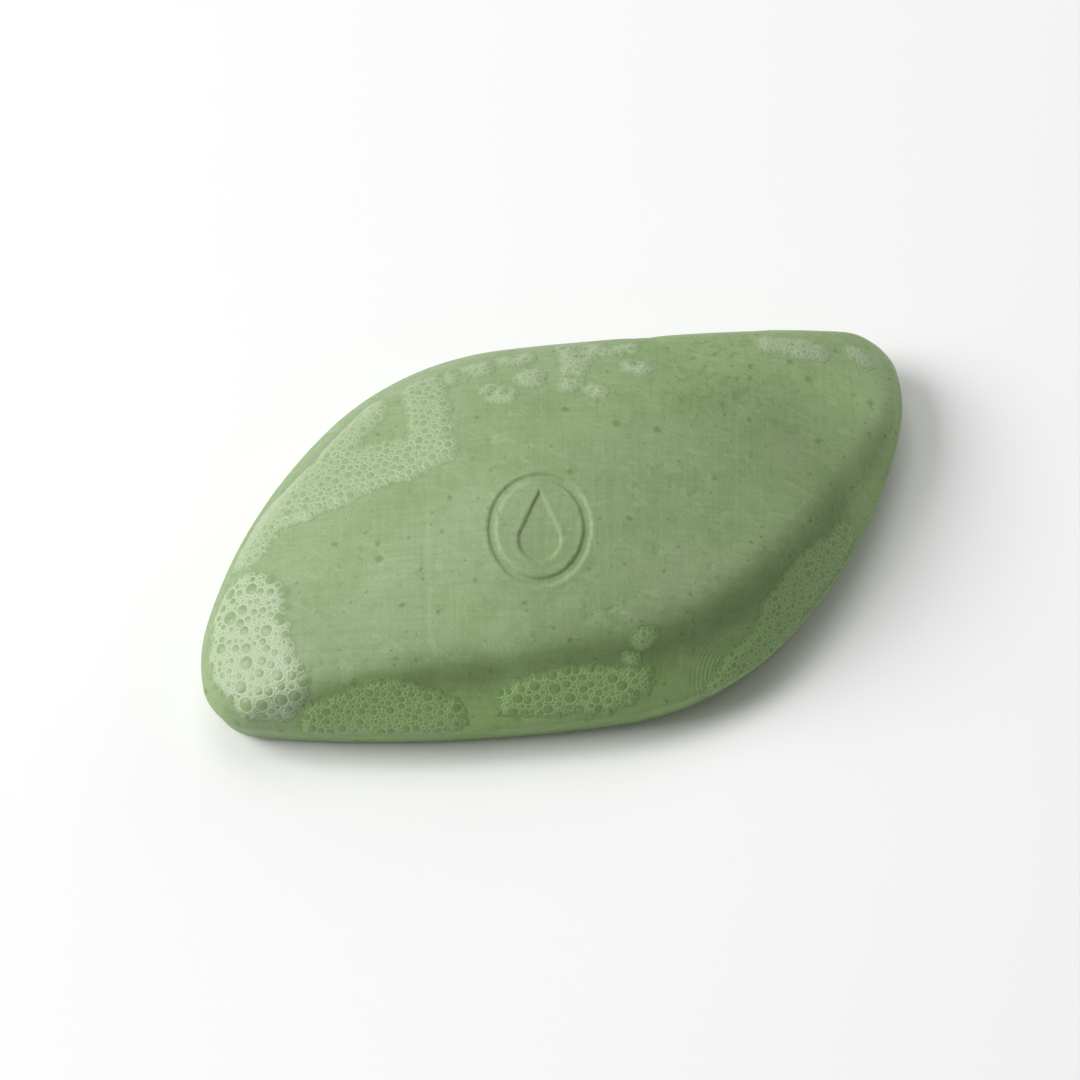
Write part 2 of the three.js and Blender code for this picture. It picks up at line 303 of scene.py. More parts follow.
def vertex_normals(points, faces):
    """Outward normals of the vertices and the area round each. Faces are rows of three or four indices."""
    normals = np.zeros_like(points)
    for rows in faces:
        corner = points[rows]
        if rows.shape[1] == 4:
            across = np.cross(corner[:, 2] - corner[:, 0], corner[:, 3] - corner[:, 1])
        else:
            across = np.cross(corner[:, 1] - corner[:, 0], corner[:, 2] - corner[:, 0])
        for k in range(rows.shape[1]):
            np.add.at(normals, rows[:, k], across)
    areas = np.maximum(1e-12, np.linalg.norm(normals, axis=1))
    return normals / areas[:, None], areas


# ---- Relief of the bar: what hands, water, the die and the wrapper left on it ----

def rumple(points, size, seed):
    """Smooth noise from -1 to 1 with features of about that size."""
    shift = Vector((seed * 17.3, seed * 9.1, seed * 5.7))
    return np.array([noise.noise(Vector(p) / size + shift) for p in points])


def mark_local(points):
    return turned(points[:, :2] - MARK_CENTRE, -MARK_TURN)


def ring_distance(local):
    """Distance outside the band of the oval ring."""
    a, b = RING_HALF_WIDTH - RING_LINE / 2, RING_HALF_HEIGHT - RING_LINE / 2
    f = np.hypot(local[:, 0] / a, local[:, 1] / b)
    slope = np.hypot(local[:, 0] / a**2, local[:, 1] / b**2) / np.maximum(f, 1e-6)
    return np.abs((f - 1) / np.maximum(slope, 1e-6)) - RING_LINE / 2


def drop_distance(local):
    """Distance outside the drop, a circle drawn up to a point."""
    reach = DROP_TIP_Y - DROP_CENTRE_Y
    x, y = np.abs(local[:, 0]), local[:, 1] - DROP_CENTRE_Y
    b = DROP_RADIUS / reach
    a = math.sqrt(1 - b * b)
    k = -b * x + a * y
    round_end = np.hypot(x, y) - DROP_RADIUS
    tip = np.hypot(x, y - reach)
    side = a * x + b * y - DROP_RADIUS
    return np.where(k < 0, round_end, np.where(k > a * reach, tip, side))


def mark_relief(points):
    local = mark_local(points)
    near = (np.hypot(local[:, 0], local[:, 1]) < MARK_FIELD) & (points[:, 2] > BELT_HEIGHT[0] + 4)
    relief = np.zeros(len(points))
    where = local[near]
    wander = 0.05 * rumple(points[near], 0.7, 3) + 0.03 * rumple(points[near], 0.3, 4)
    for distance in (ring_distance(where), drop_distance(where)):
        depth = smooth(0.5 - (distance + wander) / MARK_WALL)
        lip = np.exp(-(((distance - 0.42) / 0.26) ** 2)) * 0.035
        relief[near] += lip - MARK_DEPTH * depth
    return relief


def groove(points, start, end, width, depth, waver=0.0):
    """A dent along a straight line in plan, on the upper side of the bar."""
    start, end = np.array(start), np.array(end)
    run = end - start
    length = np.linalg.norm(run)
    along = (points[:, :2] - start) @ run / length
    across = (points[:, :2] - start) @ np.array([-run[1], run[0]]) / length
    if waver:
        across = across + waver * np.sin(along * 0.9 + 1.3) + 0.4 * waver * np.sin(along * 2.3)
    fade = smooth(along / 2.0) * smooth((length - along) / 2.0)
    upper = points[:, 2] > BELT_HEIGHT[0]
    return -depth * np.exp(-((across / width) ** 2)) * fade * upper


def fold(points, start, end, width, depth):
    """A soft furrow (or, with a negative depth, a ridge) along a straight line in space."""
    start, end = np.array(start), np.array(end)
    run = end - start
    share = np.clip((points - start) @ run / (run @ run), 0, 1)
    away = np.linalg.norm(points - start - share[:, None] * run, axis=1)
    fade = 1 - (2 * share - 1) ** 4
    return -depth * np.exp(-((away / width) ** 2)) * fade


def soft_patch(points, centre, width):
    """1 at a place, fading to 0 round it."""
    away = np.linalg.norm(points - np.array(centre), axis=1)
    return np.exp(-((away / width) ** 2))


def dents(points, areas, count, sizes, depths, seed):
    """Small round pits scattered evenly over the bar."""
    random = np.random.default_rng(seed)
    tree = kdtree.KDTree(len(points))
    for i, p in enumerate(points):
        tree.insert(p, i)
    tree.balance()
    relief = np.zeros(len(points))
    for spot in points[random.choice(len(points), count, p=areas / areas.sum())]:
        size = random.uniform(*sizes)
        depth = random.uniform(*depths)
        stretch = random.uniform(1.0, 1.9)
        heading = random.uniform(0, math.pi)
        lean = np.array([math.cos(heading), math.sin(heading), 0])
        for co, i, _ in tree.find_range(spot, size * 2.6 * stretch):
            d = np.array(co) - spot
            along = d @ lean
            reach = math.sqrt(max(0.0, d @ d - along * along) + (along / stretch) ** 2)
            relief[i] -= depth * math.exp(-((reach / size) ** 2))
    return relief


def bar_relief(points):
    """All of the relief but the pits, less deep towards the belt."""
    relief = mark_relief(points)
    for height, size, seed in RUMPLES:
        relief += height * rumple(points, size, seed)
    for line in DIE_LINES:
        relief += groove(points, *line)
    for furrow in FURROWS:
        relief += fold(points, *furrow)
    relief -= LOBE_DEPTH * soft_patch(points, LOBE_CENTRE, LOBE_WIDTH)
    top = smooth((points[:, 2] - BELT_HEIGHT[0]) / 6)
    return relief * (0.4 + 0.6 * top)


def bar_tones(points):
    """Painted light and shade, a painted shade tint, and how blotchy the soap is, at each point."""
    x, y, z = points.T
    scale, ridge = ridge_at(points[:, :2])
    rise = (z - BELT_HEIGHT[0]) / (ridge - BELT_HEIGHT[0])
    upper = z > BELT_HEIGHT[0]
    # Painted shade tint: full below the ridge, fading towards the left tip and the far side, and partly over
    # the right half of the top.
    shade_tint = np.where(upper, smooth((scale - SHADE_TINT_FROM) / SHADE_TINT_BLEND), 1.0)
    near_side = FAR_SHADE_TINT + (1 - FAR_SHADE_TINT) * smooth((FAR_TINT_FADE_Y - y) / FAR_TINT_FADE_BLEND)
    shade_tint *= smooth((x - LEFT_TINT_FADE_X) / LEFT_TINT_FADE_BLEND) * near_side
    shade_tint = np.maximum(shade_tint, RIGHT_SHADE_TINT * smooth((x - RIGHT_SHADE_TINT_X) / RIGHT_SHADE_TINT_BLEND))
    # Painted shade in the cove between belt and ridge, less towards the tips.
    cove = np.exp(-(((rise - COVE_MIDDLE) / COVE_WIDTH) ** 2))
    cove *= smooth((scale - COVE_FROM) / COVE_BLEND) * upper
    painted_shading = 1 - COVE_SHADE * cove * (1 - np.minimum(1, np.abs(x) / HALF_LENGTH) ** 3)
    # Patches of painted light and shade brighten or darken the soap.
    for *centre, width, change in PAINTED_LIGHT_SHADE_PATCHES:
        painted_shading += change * soft_patch(points, centre, width)
    return {"painted_shading": painted_shading, "shade_tint": shade_tint, "blotch": soft_patch(points, BLOTCH_CENTRE, BLOTCH_WIDTH)}


# ---- Meshes ----

def new_piece(name, points, faces, material, replaced, attributes=None):
    """A mesh in place of a CAD node, from points in millimetres about BAR_CENTRE."""
    mesh = bpy.data.meshes.new(name)
    mesh.from_pydata(((points + BAR_CENTRE) * MM).tolist(), [], [f for rows in faces for f in rows.tolist()])
    mesh.validate()
    mesh.shade_smooth()
    for key, values in (attributes or {}).items():
        mesh.attributes.new(key, "FLOAT", "POINT").data.foreach_set("value", values.astype(np.float32))
    mesh.materials.append(material)
    piece = bpy.data.objects.new(name, mesh)
    bpy.context.scene.collection.objects.link(piece)
    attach(piece, "root")
    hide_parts(replaced)
    return piece


# ---- Materials ----

class Nodes:
    """Adds nodes to a material in few words."""

    def __init__(self, name):
        self.material = bpy.data.materials.new(name)
        self.material.use_nodes = True
        self.tree = self.material.node_tree
        self.shader = self.tree.nodes["Principled BSDF"]

    def add(self, kind, settings=None, **inputs):
        node = self.tree.nodes.new(kind)
        for key, value in (settings or {}).items():
            setattr(node, key, value)
        for key, value in inputs.items():
            self.set(node.inputs[key.replace("_", " ")], value)
        return node

    def field(self, name):
        """A number that the mesh carries at each of its points."""
        return self.add("ShaderNodeAttribute", {"attribute_name": name}).outputs["Fac"]

    def set(self, socket, value):
        if isinstance(value, bpy.types.NodeSocket):
            self.tree.links.new(value, socket)
        else:
            socket.default_value = value

    def math(self, operation, a, b=0.5, clamp=False):
        node = self.add("ShaderNodeMath", {"operation": operation, "use_clamp": clamp})
        self.set(node.inputs[0], a)
        self.set(node.inputs[1], b)
        return node.outputs[0]

    def ramp(self, value, low, high, out_low=0.0, out_high=1.0):
        node = self.add("ShaderNodeMapRange", {"interpolation_type": "SMOOTHSTEP"}, Value=value)
        for key, number in (("From Min", low), ("From Max", high), ("To Min", out_low), ("To Max", out_high)):
            node.inputs[key].default_value = number
        return node.outputs[0]

    def mix(self, factor, a, b, blend="MIX"):
        node = self.add("ShaderNodeMix", {"data_type": "RGBA", "blend_type": blend})
        self.set(node.inputs[0], factor)
        self.set(node.inputs[6], a)
        self.set(node.inputs[7], b)
        return node.outputs[2]

    def place(self, scale=(1, 1, 1), turn=0.0):
        """Object coordinates in millimetres, turned about Z and stretched."""
        coordinates = self.add("ShaderNodeTexCoord").outputs["Object"]
        flat = self.add("ShaderNodeMapping", Vector=coordinates)
        flat.inputs["Rotation"].default_value = (0, 0, turn)
        flat.inputs["Scale"].default_value = (1 / MM,) * 3
        stretched = self.add("ShaderNodeMapping", Vector=flat.outputs[0])
        stretched.inputs["Scale"].default_value = scale
        return stretched.outputs[0]

    def noise(self, where, scale, detail=2.0, rough=0.5, distort=0.0):
        node = self.add("ShaderNodeTexNoise", Vector=where, Scale=scale, Detail=detail, Roughness=rough)
        node.inputs["Distortion"].default_value = distort
        return node.outputs[0]

    def cells(self, where, scale, feature="F1", random=1.0):
        node = self.add("ShaderNodeTexVoronoi", {"feature": feature}, Vector=where, Scale=scale)
        node.inputs["Randomness"].default_value = random
        return node

    def bump(self, height, distance, strength=1.0, below=None):
        node = self.add("ShaderNodeBump", Height=height, Distance=distance, Strength=strength)
        if below is not None:
            self.set(node.inputs["Normal"], below)
        return node.outputs[0]


def specks(nodes, where, scale, size, share):
    """Scattered soft spots: 1 at a spot's middle, 0 between them. Share is how many cells hold one."""
    cells = nodes.cells(where, scale)
    pick = nodes.add("ShaderNodeSeparateColor", Color=cells.outputs["Color"])
    chosen = nodes.ramp(pick.outputs[0], 1 - share, 1 - share + 0.02)
    width = nodes.math("MULTIPLY_ADD", pick.outputs[1], size * 0.7)
    width.node.inputs[2].default_value = size * 0.4
    close = nodes.math("DIVIDE", cells.outputs["Distance"], width)
    spot = nodes.ramp(close, 1.0, 0.35)
    return nodes.math("MULTIPLY", spot, chosen)


def soap_material():
    """Milled green soap: clouds, streaks both ways, residue, specks, painted light and shade, a painted shade
    tint and contour rings.
    """
    deep = (0.252, 0.350, 0.170, 1)
    pale = (0.302, 0.400, 0.218, 1)
    mottled = (0.338, 0.436, 0.25, 1)
    dark_streak = (0.205, 0.305, 0.128, 1)
    pale_streak = (0.34, 0.445, 0.25, 1)
    dark_grain = (0.18, 0.275, 0.105, 1)
    dried = (0.40, 0.50, 0.31, 1)
    dark = (0.150, 0.240, 0.084, 1)
    # The painted shade tint, which makes shaded soap a more saturated green.
    shade_tint_colour = (0.92, 1.01, 0.77, 1)
    pale_ring = (0.33, 0.44, 0.21, 1)
    nodes = Nodes("soap_milled_green")
    where = nodes.place()
    swirl = nodes.add("ShaderNodeTexNoise", Vector=where, Scale=1.4, Detail=2.0)
    broken = nodes.add("ShaderNodeVectorMath", {"operation": "MULTIPLY_ADD"})
    nodes.set(broken.inputs[0], swirl.outputs["Color"])
    broken.inputs[1].default_value = (0.9, 0.9, 0.9)
    nodes.set(broken.inputs[2], where)
    where_rough = broken.outputs[0]

    painted_shading, shade_tint, blotch = (nodes.field(name) for name in ("painted_shading", "shade_tint", "blotch"))
    cloud = nodes.noise(where, 0.07, 4.0, 0.55, 0.3)
    mottle = nodes.noise(where, 0.45, 4.0, 0.6)
    curd = nodes.noise(where_rough, 0.85, 3.0, 0.65, 0.6)
    grain = nodes.noise(where, 5.0, 3.0, 0.6)
    drag_along = nodes.noise(nodes.place((0.06, 1.9, 0.6), -MARK_TURN), 1.0, 3.0, 0.6)
    drag_across = nodes.noise(nodes.place((2.1, 0.07, 0.6), -MARK_TURN), 1.0, 3.0, 0.6)
    residue = nodes.noise(nodes.place((0.5, 1.3, 0.8), -MARK_TURN + 0.5), 0.55, 5.0, 0.68, 1.2)
    large = specks(nodes, where_rough, 0.36, 0.24, 0.75)
    small = specks(nodes, where_rough, 0.8, 0.26, 0.5)
    pin = specks(nodes, where_rough, 2.0, 0.24, 0.3)

    base = nodes.mix(nodes.ramp(cloud, 0.36, 0.64), deep, pale)
    base = nodes.mix(nodes.ramp(mottle, 0.35, 0.7, 0.0, 0.36), base, mottled)
    base = nodes.mix(nodes.ramp(drag_along, 0.42, 0.66, 0.0, 0.28), base, dark_streak)
    base = nodes.mix(nodes.ramp(drag_across, 0.45, 0.68, 0.0, 0.26), base, pale_streak)
    base = nodes.mix(nodes.ramp(grain, 0.4, 0.68, 0.0, 0.26), base, dark_grain)
    base = nodes.mix(nodes.ramp(residue, 0.53, 0.66, 0.0, 0.28), base, dried)
    heavy = nodes.math("MULTIPLY", nodes.ramp(curd, 0.50, 0.62, 0.0, 0.42), blotch)
    base = nodes.mix(heavy, base, dark)
    base = nodes.mix(nodes.ramp(curd, 0.58, 0.70, 0.0, 0.26), base, dark)
    base = nodes.mix(nodes.math("MULTIPLY", large, 0.72), base, dark)
    base = nodes.mix(nodes.math("MULTIPLY", small, 0.66), base, dark)
    base = nodes.mix(nodes.math("MULTIPLY", pin, 0.42), base, dark)
    # Painted light and shade, carried by the mesh, multiplies the colour.
    base = nodes.mix(1.0, base, painted_shading, "MULTIPLY")
    # Painted shade tint: a more saturated green where the soap lies in shade.
    base = nodes.mix(shade_tint, base, nodes.mix(1.0, base, shade_tint_colour, "MULTIPLY"))

    middle = tuple(RINGS_CENTRE + BAR_CENTRE)
    reach = nodes.add("ShaderNodeVectorMath", {"operation": "DISTANCE"})
    nodes.set(reach.inputs[0], where)
    reach.inputs[1].default_value = middle
    reach = reach.outputs["Value"]
    wave = nodes.math("SINE", nodes.math("MULTIPLY", reach, 2 * math.pi / RINGS_STEP))
    near = nodes.math("MULTIPLY", nodes.ramp(reach, 7.4, 6.0), nodes.ramp(reach, 2.4, 3.4))
    near = nodes.math("MULTIPLY", near, shade_tint)
    rings = nodes.math("MULTIPLY", wave, near)
    base = nodes.mix(nodes.math("MULTIPLY", rings, 0.24, True), base, pale_ring)
    nodes.set(nodes.shader.inputs["Base Color"], base)

    dragged = nodes.ramp(drag_along, 0.35, 0.7, -0.05, 0.05)
    rough = nodes.math("ADD", nodes.ramp(mottle, 0.3, 0.7, 0.46, 0.58), dragged)
    nodes.set(nodes.shader.inputs["Roughness"], rough)

    normal = nodes.bump(mottle, 0.00010, 0.5)
    normal = nodes.bump(nodes.math("ADD", drag_along, drag_across), 0.00006, 0.6, normal)
    normal = nodes.bump(nodes.math("ADD", nodes.math("ADD", large, small), pin), -0.00003, 0.5, normal)
    normal = nodes.bump(curd, -0.00006, 0.5, normal)
    normal = nodes.bump(rings, 0.00005, 0.6, normal)
    normal = nodes.bump(grain, 0.00003, 0.6, normal)
    nodes.set(nodes.shader.inputs["Normal"], normal)
    nodes.shader.inputs["Subsurface Weight"].default_value = 0.18
    nodes.shader.inputs["Subsurface Radius"].default_value = (1.0, 1.25, 0.7)
    nodes.shader.inputs["Subsurface Scale"].default_value = 0.0014
    nodes.shader.inputs["IOR"].default_value = 1.46
    nodes.shader.inputs["Specular IOR Level"].default_value = 0.26
    return nodes.material


def lather_material(name, cell, cell_tone, wall_tone, soap, froth_colour):
    """Wet foam: pale walls round clear cells that show the soap. Cell is the froth's usual size."""
    nodes = Nodes(name)
    where = nodes.place()
    border, edge, tone = (nodes.field(name) for name in ("border", "edge", "tone"))
    coarse = nodes.cells(where, 1 / cell, "DISTANCE_TO_EDGE").outputs["Distance"]
    fine = nodes.cells(where, 2.1 / cell, "DISTANCE_TO_EDGE").outputs["Distance"]
    patch = nodes.noise(where, 0.9, 3.0, 0.6)
    net = nodes.ramp(coarse, 0.12, 0.01, cell_tone, wall_tone)
    net_fine = nodes.ramp(fine, 0.16, 0.02, 0.0, wall_tone * 0.8)
    net = nodes.math("MAXIMUM", net, nodes.math("MULTIPLY", net_fine, nodes.ramp(patch, 0.40, 0.58)))
    outside = nodes.ramp(border, 0.02, -0.04)
    sparse = nodes.math("MULTIPLY", outside, nodes.ramp(edge, 0.05, 0.75, 0.25, 1.0))
    froth = nodes.math("MULTIPLY", net, sparse)
    ring = nodes.ramp(nodes.math("ABSOLUTE", border), 0.115, 0.02, 0.0, min(1.0, wall_tone * 1.15))
    inner = nodes.math("MULTIPLY", net_fine, nodes.math("SUBTRACT", 0.45, outside, clamp=True))
    inner = nodes.math("ADD", tone, nodes.math("MULTIPLY", inner, nodes.ramp(patch, 0.5, 0.62)))
    level = nodes.math("MAXIMUM", nodes.math("MAXIMUM", froth, inner), ring)
    level = nodes.math("MULTIPLY", level, nodes.ramp(edge, 0.0, 0.9, 0.25, 1.0))
    ramp = nodes.add("ShaderNodeValToRGB", Fac=level)
    stops = ramp.color_ramp.elements
    stops[0].position, stops[0].color = 0.0, soap
    stops[1].position, stops[1].color = 1.0, froth_colour
    nodes.set(nodes.shader.inputs["Base Color"], ramp.outputs[0])
    nodes.set(nodes.shader.inputs["Roughness"], nodes.ramp(level, 0.0, 1.0, 0.30, 0.48))
    nodes.set(nodes.shader.inputs["Normal"], nodes.bump(froth, 0.00004, 0.6))
    nodes.shader.inputs["IOR"].default_value = 1.36
    nodes.shader.inputs["Subsurface Weight"].default_value = 0.12
    nodes.shader.inputs["Subsurface Radius"].default_value = (1.0, 1.1, 0.8)
    nodes.shader.inputs["Subsurface Scale"].default_value = 0.0006
    return nodes.material


SOAP = soap_material()
LATHER = {
    "froth": lather_material(
        "lather_pale_froth", cell=0.36, cell_tone=0.32, wall_tone=0.50,
        soap=(0.252, 0.352, 0.172, 1), froth_colour=(0.60, 0.68, 0.51, 1),
    ),
    # The open net lies on the front flank, so the soap seen through it carries the flank's painted shade and
    # painted shade tint.
    "net": lather_material(
        "lather_open_net", cell=0.50, cell_tone=0.05, wall_tone=0.44,
        soap=(0.182, 0.300, 0.103, 1), froth_colour=(0.43, 0.58, 0.28, 1),
    ),
    "wisp": lather_material(
        "lather_thin_wisp", cell=0.45, cell_tone=0.04, wall_tone=0.37,
        soap=(0.270, 0.372, 0.190, 1), froth_colour=(0.58, 0.66, 0.47, 1),
    ),
}

# ---- The bar ----

grid = bar_grid()
RINGS = len(grid)
flat = grid.reshape(-1, 3)
points = np.concatenate([flat, [[0, 0, 0]], [[*MARK_CENTRE, crown_z(MARK_CENTRE)]]])
quads = grid_faces(RINGS, STATIONS)
stations = np.arange(STATIONS)
following = (stations + 1) % STATIONS
under_fan = np.column_stack([np.full(STATIONS, len(flat)), following, stations])
last = (RINGS - 1) * STATIONS
top_fan = np.column_stack([last + stations, last + following, np.full(STATIONS, len(flat) + 1)])
bar_faces = [quads, under_fan, top_fan]
normals, areas = vertex_normals(points, bar_faces)
relief = bar_relief(points)
relief += dents(points, areas, PIT_COUNT, PIT_SIZE, PIT_DEPTH, 11)
points = points + normals * relief[:, None]
points[:, 2] = np.maximum(points[:, 2], 0.0)
normals, _ = vertex_normals(points, bar_faces)
new_piece("soap_bar_shape", points, bar_faces, SOAP, "soap_bar", bar_tones(points))

SKIN = points[: len(flat)].reshape(RINGS, STATIONS, 3)
SKIN_NORMALS = normals[: len(flat)].reshape(RINGS, STATIONS, 3)

# ---- The lather ----

FOAM_STEP = 0.075            # between the points of a raft's mesh
FOAM_REACH = 0.62            # how far from its CAD solid the skin still carries foam
FOAM_SUNK = 0.12             # how deep a raft's own bottom lies in the soap
RIM_THICKNESS = 0.03
SWELL = 0.24                 # thickness gained from the rim inwards
SWELL_WIDTH = 1.6
TUCK_WIDTH = 0.09            # of the rim, which is tucked into the soap
TUCK_DEPTH = 0.02
BUBBLE_GAP = 0.84            # of a bubble's radius, to its neighbour's rim
BUBBLE_TRIES = 6
BUBBLE_DOME = 0.09           # of its radius
DOME_SHARE = 0.8             # of its radius, over which the dome rises
SPOT_MARGIN = 0.1            # between bubble centres and the raft's border
BUBBLE_RANGE = 2.2           # how far past the raft a bubble may still reach
TINT_MOST = 0.16             # of a bubble's clear middle, least in large bubbles
TINT_RANGE = 0.5
WALL_WIDTH = 0.07
WALL_RISE = 0.03
WALL_BLEND = 0.03
# The ragged border of a raft: how far it strays, over what length, and a step of the seed.
BORDER_NOISE = ((0.42, 1.9, 0), (0.25, 0.8, 40), (0.22, 0.4, 60))
OUTSIDE = -0.3               # border's value away from every bubble
FAR = 1e6
SEARCH_REACH = 4             # round a CAD raft, in which distances to it are measured
UNSEARCHED = 9.0             # the distance outside of that
PATCH_MARGIN = 1.5
ROWS_AT_ONCE = 4000


def footprint(node):
    """Where on the skin's grid a CAD raft lies: for each grid point, its distance from the raft."""
    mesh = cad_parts[node].data
    vertices = np.array([v.co for v in mesh.vertices]) / MM - BAR_CENTRE
    tree = BVHTree.FromPolygons([tuple(v) for v in vertices], [tuple(p.vertices) for p in mesh.polygons])
    lo, hi = vertices.min(0) - SEARCH_REACH, vertices.max(0) + SEARCH_REACH
    near = np.all((SKIN > lo) & (SKIN < hi), axis=2)
    away = np.full(SKIN.shape[:2], UNSEARCHED)
    for ring, station in np.argwhere(near):
        away[ring, station] = tree.find_nearest(Vector(SKIN[ring, station]))[3]
    return away


def enlarged(values, times_r, times_s):
    """A grid of values with straight steps between its own."""
    for axis, times in ((0, times_r), (1, times_s)):
        count = values.shape[axis]
        place = np.linspace(0, count - 1, (count - 1) * times + 1)
        low = np.minimum(place.astype(int), count - 2)
        share = (place - low).reshape([-1 if a == axis else 1 for a in range(values.ndim)])
        values = np.take(values, low, axis) * (1 - share) + np.take(values, low + 1, axis) * share
    return values


def bubbles(spots, random, largest, smallest, count, rarity):
    """Centres and radii of round bubbles strewn over the spots, the largest first."""
    sizes = smallest * (largest / smallest) ** (random.random(count) ** rarity)
    centres, kept = np.zeros((0, 3)), np.zeros(0)
    for r in sorted(sizes, reverse=True):
        for _ in range(BUBBLE_TRIES):
            spot = spots[random.integers(len(spots))]
            clear = np.linalg.norm(centres - spot, axis=1) - kept
            if len(clear) == 0 or clear.min() > r * BUBBLE_GAP:
                centres, kept = np.vstack([centres, spot]), np.append(kept, r)
                break
    return centres, kept


def skin_patch(away, cover):
    """The part of the skin that a raft can reach, made finer: grids of points, normals and distances,
    the steps of the skin's own grid and how many times finer they became."""
    angle = np.argwhere(away < cover)[:, 1] * 2 * math.pi / STATIONS
    middle = math.atan2(np.sin(angle).mean(), np.cos(angle).mean()) * STATIONS / (2 * math.pi)
    roll = STATIONS // 2 - int(round(middle))
    skin, skin_normals, away = (np.roll(a, roll, 1) for a in (SKIN, SKIN_NORMALS, away))
    hit = np.argwhere(away < cover + PATCH_MARGIN)
    (r0, s0), (r1, s1) = np.maximum(hit.min(0) - 2, 0), np.minimum(hit.max(0) + 3, [RINGS, STATIONS])
    skin, skin_normals, away = (a[r0:r1, s0:s1] for a in (skin, skin_normals, away))
    used = away < cover
    step_r = np.linalg.norm(np.diff(skin, axis=0), axis=2)[used[:-1]].mean()
    step_s = np.linalg.norm(np.diff(skin, axis=1), axis=2)[used[:, :-1]].mean()
    times = max(1, round(step_r / FOAM_STEP)), max(1, round(step_s / FOAM_STEP))
    base, up, away = (enlarged(a, *times) for a in (skin, skin_normals, away))
    return base, up, away, (step_r, step_s), times


def bubble_borders(base, candidates, centres, sizes):
    """For each point, how far inside its bubble's border it is, and which bubble that is."""
    apart = np.linalg.norm(centres[:, None] - centres[None], axis=2) + np.eye(len(sizes)) * FAR
    border = np.full(len(base), OUTSIDE)
    owner = np.zeros(len(base), int)
    for start in range(0, len(candidates), ROWS_AT_ONCE):
        rows = candidates[start:start + ROWS_AT_ONCE]
        square = ((base[rows][:, None] - centres[None]) ** 2).sum(2)
        power = square - sizes[None] ** 2
        best = power.argmin(1)
        k = np.arange(len(rows))
        to_wall = (power - power[k, best][:, None]) / (2 * apart[best])
        to_wall[k, best] = FAR
        inward = sizes[best] - np.sqrt(square[k, best])
        between = np.minimum(to_wall.min(1), inward)
        border[rows] = np.where(inward > 0, between, np.maximum(inward, OUTSIDE))
        owner[rows] = best
    return border, owner


def distance_to_rim(base, kept):
    """How far each kept point is from the nearest one that isn't."""
    tree = kdtree.KDTree(int((~kept).sum()))
    for n, i in enumerate(np.flatnonzero(~kept)):
        tree.insert(base[i], n)
    tree.balance()
    edge = np.zeros(len(base))
    for i in np.flatnonzero(kept):
        edge[i] = tree.find(base[i])[2]
    return edge


def closed_sheet(base, up, height, kept, shape):
    """A closed body from the kept points: its top at a height over the skin, its bottom in the soap.
    Returns its points, its faces and which points of the base it uses."""
    index = np.arange(len(base)).reshape(shape)
    cells = np.stack([index[:-1, :-1], index[:-1, 1:], index[1:, 1:], index[1:, :-1]], -1).reshape(-1, 4)
    cells = cells[kept[cells].all(1)]
    used = np.unique(cells)
    count = len(used)
    renamed = np.full(len(base), -1)
    renamed[used] = np.arange(count)
    cells = renamed[cells]
    top = base[used] + up[used] * height[used][:, None]
    bottom = base[used] - up[used] * FOAM_SUNK
    sides = np.concatenate([cells[:, [0, 1]], cells[:, [1, 2]], cells[:, [2, 3]], cells[:, [3, 0]]])
    key = np.sort(sides, 1) @ np.array([count, 1])
    _, first, counts = np.unique(key, return_index=True, return_counts=True)
    rim = sides[first[counts == 1]]
    skirt = np.column_stack([rim[:, 1], rim[:, 0], rim[:, 0] + count, rim[:, 1] + count])
    return np.concatenate([top, bottom]), [cells, cells[:, ::-1] + count, skirt], used


def raft(node, seed, look, largest, smallest, density, rarity, spill=0.0):
    """The bubbles that take the place of one CAD raft."""
    random = np.random.default_rng(seed)
    cover = FOAM_REACH + spill
    base, up, away, steps, times = skin_patch(footprint(node), cover)
    shape = away.shape
    base, up, away = base.reshape(-1, 3), up.reshape(-1, 3), away.ravel()
    reach = np.full(len(base), cover)
    for stray, length, seed_step in BORDER_NOISE:
        reach += stray * rumple(base, length, seed + seed_step)
    spots = base[away < reach - SPOT_MARGIN]
    area = len(spots) * steps[0] * steps[1] / (times[0] * times[1])
    centres, sizes = bubbles(spots, random, largest, smallest, int(area * density), rarity)
    candidates = np.flatnonzero(away < cover + BUBBLE_RANGE)
    border, owner = bubble_borders(base, candidates, centres, sizes)
    kept = (away < reach) | (border > -WALL_WIDTH)
    edge = distance_to_rim(base, kept)

    radius = sizes[owner]
    inside = smooth(border / WALL_BLEND)
    wall = np.exp(-((border / WALL_WIDTH) ** 2))
    dome = smooth(border / (radius * DOME_SHARE)) * inside
    thick = RIM_THICKNESS + SWELL * smooth(edge / SWELL_WIDTH)
    height = thick + WALL_RISE * wall + inside * (BUBBLE_DOME * radius * dome - WALL_RISE)
    height = np.where(edge < TUCK_WIDTH, -TUCK_DEPTH, height)
    tint = random.uniform(0.0, TINT_MOST, len(sizes))[owner]
    tone = inside * tint * smooth(1 - (radius - smallest) / TINT_RANGE)

    points, faces, used = closed_sheet(base, up, height, kept, shape)
    fields = {"border": border, "edge": edge, "tone": tone}
    fields = {key: np.tile(values[used], 2) for key, values in fields.items()}
    new_piece(node + "_bubbles", points, faces, LATHER[look], node, fields)


